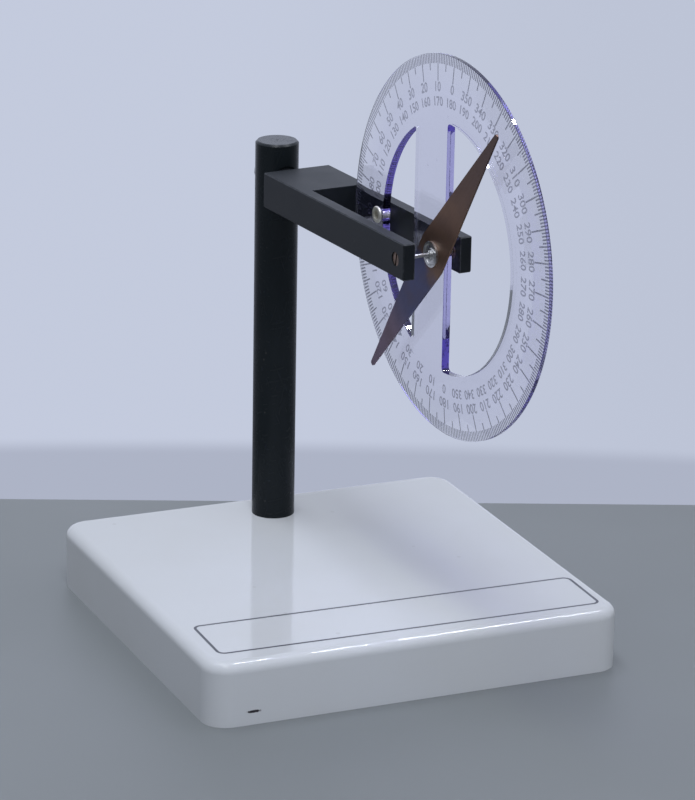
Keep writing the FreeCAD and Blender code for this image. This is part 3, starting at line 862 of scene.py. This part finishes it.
dress("needle", tempered_steel())
nickel_bright, nickel_dull = (0.80, 0.80, 0.79), (0.55, 0.55, 0.54)
for ring in ("needle_hub", "hub_collar"):
    dress(ring, turned_metal(ring + " nickel", nickel_bright, nickel_dull, 0.2, axle_middle, rightward))
steel_bright, steel_dull = (0.72, 0.72, 0.72), (0.55, 0.55, 0.55)
dress("axle", turned_metal("ground steel", steel_bright, steel_dull, 0.22, axle_middle, rightward, 0.0002))

# STAGE
# A plain grey bench top whose far edge passes behind the base; painted shade darkens it a little to the right
# and front.
# A pale surround and a soft overhead light, with a narrow lamp whose glint runs along the base's front edge.

floor_tone = (0.238, 0.256, 0.263)
far_left, near_right = (-1.9, 0.8773), (1.0116, -0.30)
floor_mesh = bpy.data.meshes.new("bench_top")
floor_mesh.from_pydata([(*far_left, 0), (far_left[0], near_right[1], 0), (*near_right, 0)], [], [(0, 1, 2)])
floor = bpy.data.objects.new("bench_top", floor_mesh)
bpy.context.scene.collection.objects.link(floor)
floor_finish, floor_tree, floor_shader = start_material("bench top", Metallic=0.0)
floor_place = place_on(floor_tree)
floor_cloud = cloud(floor_tree, floor_place, 9.0, 3.0)
# Painted shade: the bench's colour is darkened by a fifth towards the right and the front.
floor_side = vectors(floor_tree, "DOT_PRODUCT", floor_place, (0.6, -0.8, 0))
floor_painted_shade_share = fade(floor_tree, floor_side, -0.35, 0.2)
floor_painted_shade = tint(floor_tree, floor_painted_shade_share, floor_tone, tuple(0.8 * part for part in floor_tone))
floor_dark = tuple(0.78 * part for part in floor_tone)
connect(
    floor_tree,
    floor_shader,
    Base_Color=tint(floor_tree, fade(floor_tree, floor_cloud, 0.0, 1.0, 0.0, 0.25), floor_painted_shade, floor_dark),
    Roughness=fade(floor_tree, floor_cloud, 0.3, 0.7, 0.42, 0.5),
)
floor_mesh.materials.append(floor_finish)

world = bpy.data.worlds.new("pale room")
bpy.context.scene.world = world
world.use_nodes = True
room = world.node_tree
room.nodes.clear()
heading = add_node(room, "ShaderNodeTexCoord").outputs["Generated"]
sheen = fade(room, vectors(room, "DOT_PRODUCT", heading, (0.3, 0.8, 0.5)), -0.4, 0.75, 0.25, 1.45)
rightness, depth_heading, low = split(room, heading)
skirting = fade(room, low, -0.328, -0.3235)
below = fade(room, low, -0.34, -0.2, 0.25, 1.0)
dimmer = fade(room, rightness, 0.35, 0.46)
upper_wall = tint(room, dimmer, (0.55, 0.595, 0.725), (0.51, 0.553, 0.675))
wall_tone = tint(room, skirting, (0.42, 0.455, 0.565), upper_wall)
window_side = fade(room, depth_heading, -1.0, 0.3, 0.66, 0.27)
lamp_white, sheen_tone = (0.93, 0.975, 1.06), (0.56, 0.60, 0.73)
sheen_strength = sums(room, "MULTIPLY", sheen, below)
room_light = add_node(room, "ShaderNodeBackground", {"Color": (*lamp_white, 1.0), "Strength": window_side})
room_sheen = add_node(room, "ShaderNodeBackground", {"Color": (*sheen_tone, 1.0), "Strength": sheen_strength})
room_wall = add_node(room, "ShaderNodeBackground", {"Color": wall_tone, "Strength": 1.0})
ray = add_node(room, "ShaderNodeLightPath")
seen = sums(room, "MAXIMUM", ray.outputs["Is Camera Ray"], ray.outputs["Is Transmission Ray"])
lit = add_node(
    room,
    "ShaderNodeMixShader",
    {0: ray.outputs["Is Glossy Ray"], 1: room_light.outputs[0], 2: room_sheen.outputs[0]},
)
room_mix = add_node(room, "ShaderNodeMixShader", {0: seen, 1: lit.outputs[0], 2: room_wall.outputs[0]})
add_node(room, "ShaderNodeOutputWorld", {"Surface": room_mix.outputs[0]})


def soft_lamp(name, place, aim, width, height, power, colour):
    """A rectangular soft lamp at a place, turned to a point."""
    lamp = bpy.data.lights.new(name, "AREA")
    lamp.shape = "RECTANGLE"
    lamp.size, lamp.size_y, lamp.energy, lamp.color = width, height, power, colour
    made = bpy.data.objects.new(name, lamp)
    made.location = place
    made.rotation_mode = "QUATERNION"
    made.rotation_quaternion = (Vector(aim) - Vector(place)).to_track_quat("-Z", "Y")
    bpy.context.scene.collection.objects.link(made)
    return made


soft_lamp("overhead lamp", (-0.20, -0.30, 1.3), (-0.20, -0.10, 0.0), 0.3, 1.6, 11.0, lamp_white)
glint_lamp = soft_lamp("strip lamp", (0.52, -0.01, 1.2), (0.52, -0.06, 0.0), 0.40, 0.07, 9.0, lamp_white)
glint_lamp.visible_diffuse = False

# CAMERA
# A long lens that stands where the photograph was taken from, turned by its small roll. Its place and lens
# come from a fit to measured edges.

view_azimuth, view_elevation, view_roll = (math.radians(angle) for angle in (-23.550, 18.324, 1.015))
view_distance = 1.09076
view_aim = Vector((0, 0, 0.060))
aim_right, aim_up = 0.002863, 0.006303
focal_pixels, frame_pixels = 3910.861, 800
sensor_side = 36.0

back = Vector(
    (
        math.sin(view_azimuth) * math.cos(view_elevation),
        -math.cos(view_azimuth) * math.cos(view_elevation),
        math.sin(view_elevation),
    )
)
level_right = Vector((math.cos(view_azimuth), math.sin(view_azimuth), 0))
level_up = back.cross(level_right)
camera_right = level_right * math.cos(view_roll) + level_up * math.sin(view_roll)
camera_up = level_up * math.cos(view_roll) - level_right * math.sin(view_roll)
camera_data = bpy.data.cameras.new("camera")
camera_data.sensor_width = sensor_side
camera_data.lens = sensor_side * (focal_pixels / frame_pixels)
camera = bpy.data.objects.new("camera", camera_data)
stand_point = view_aim + level_right * aim_right + level_up * aim_up + back * view_distance
turned = Matrix((camera_right, camera_up, back)).transposed().to_4x4()
camera.matrix_world = Matrix.Translation(stand_point) @ turned
bpy.context.scene.collection.objects.link(camera)
bpy.context.scene.camera = camera

bpy.context.scene.view_settings.view_transform = "Standard"
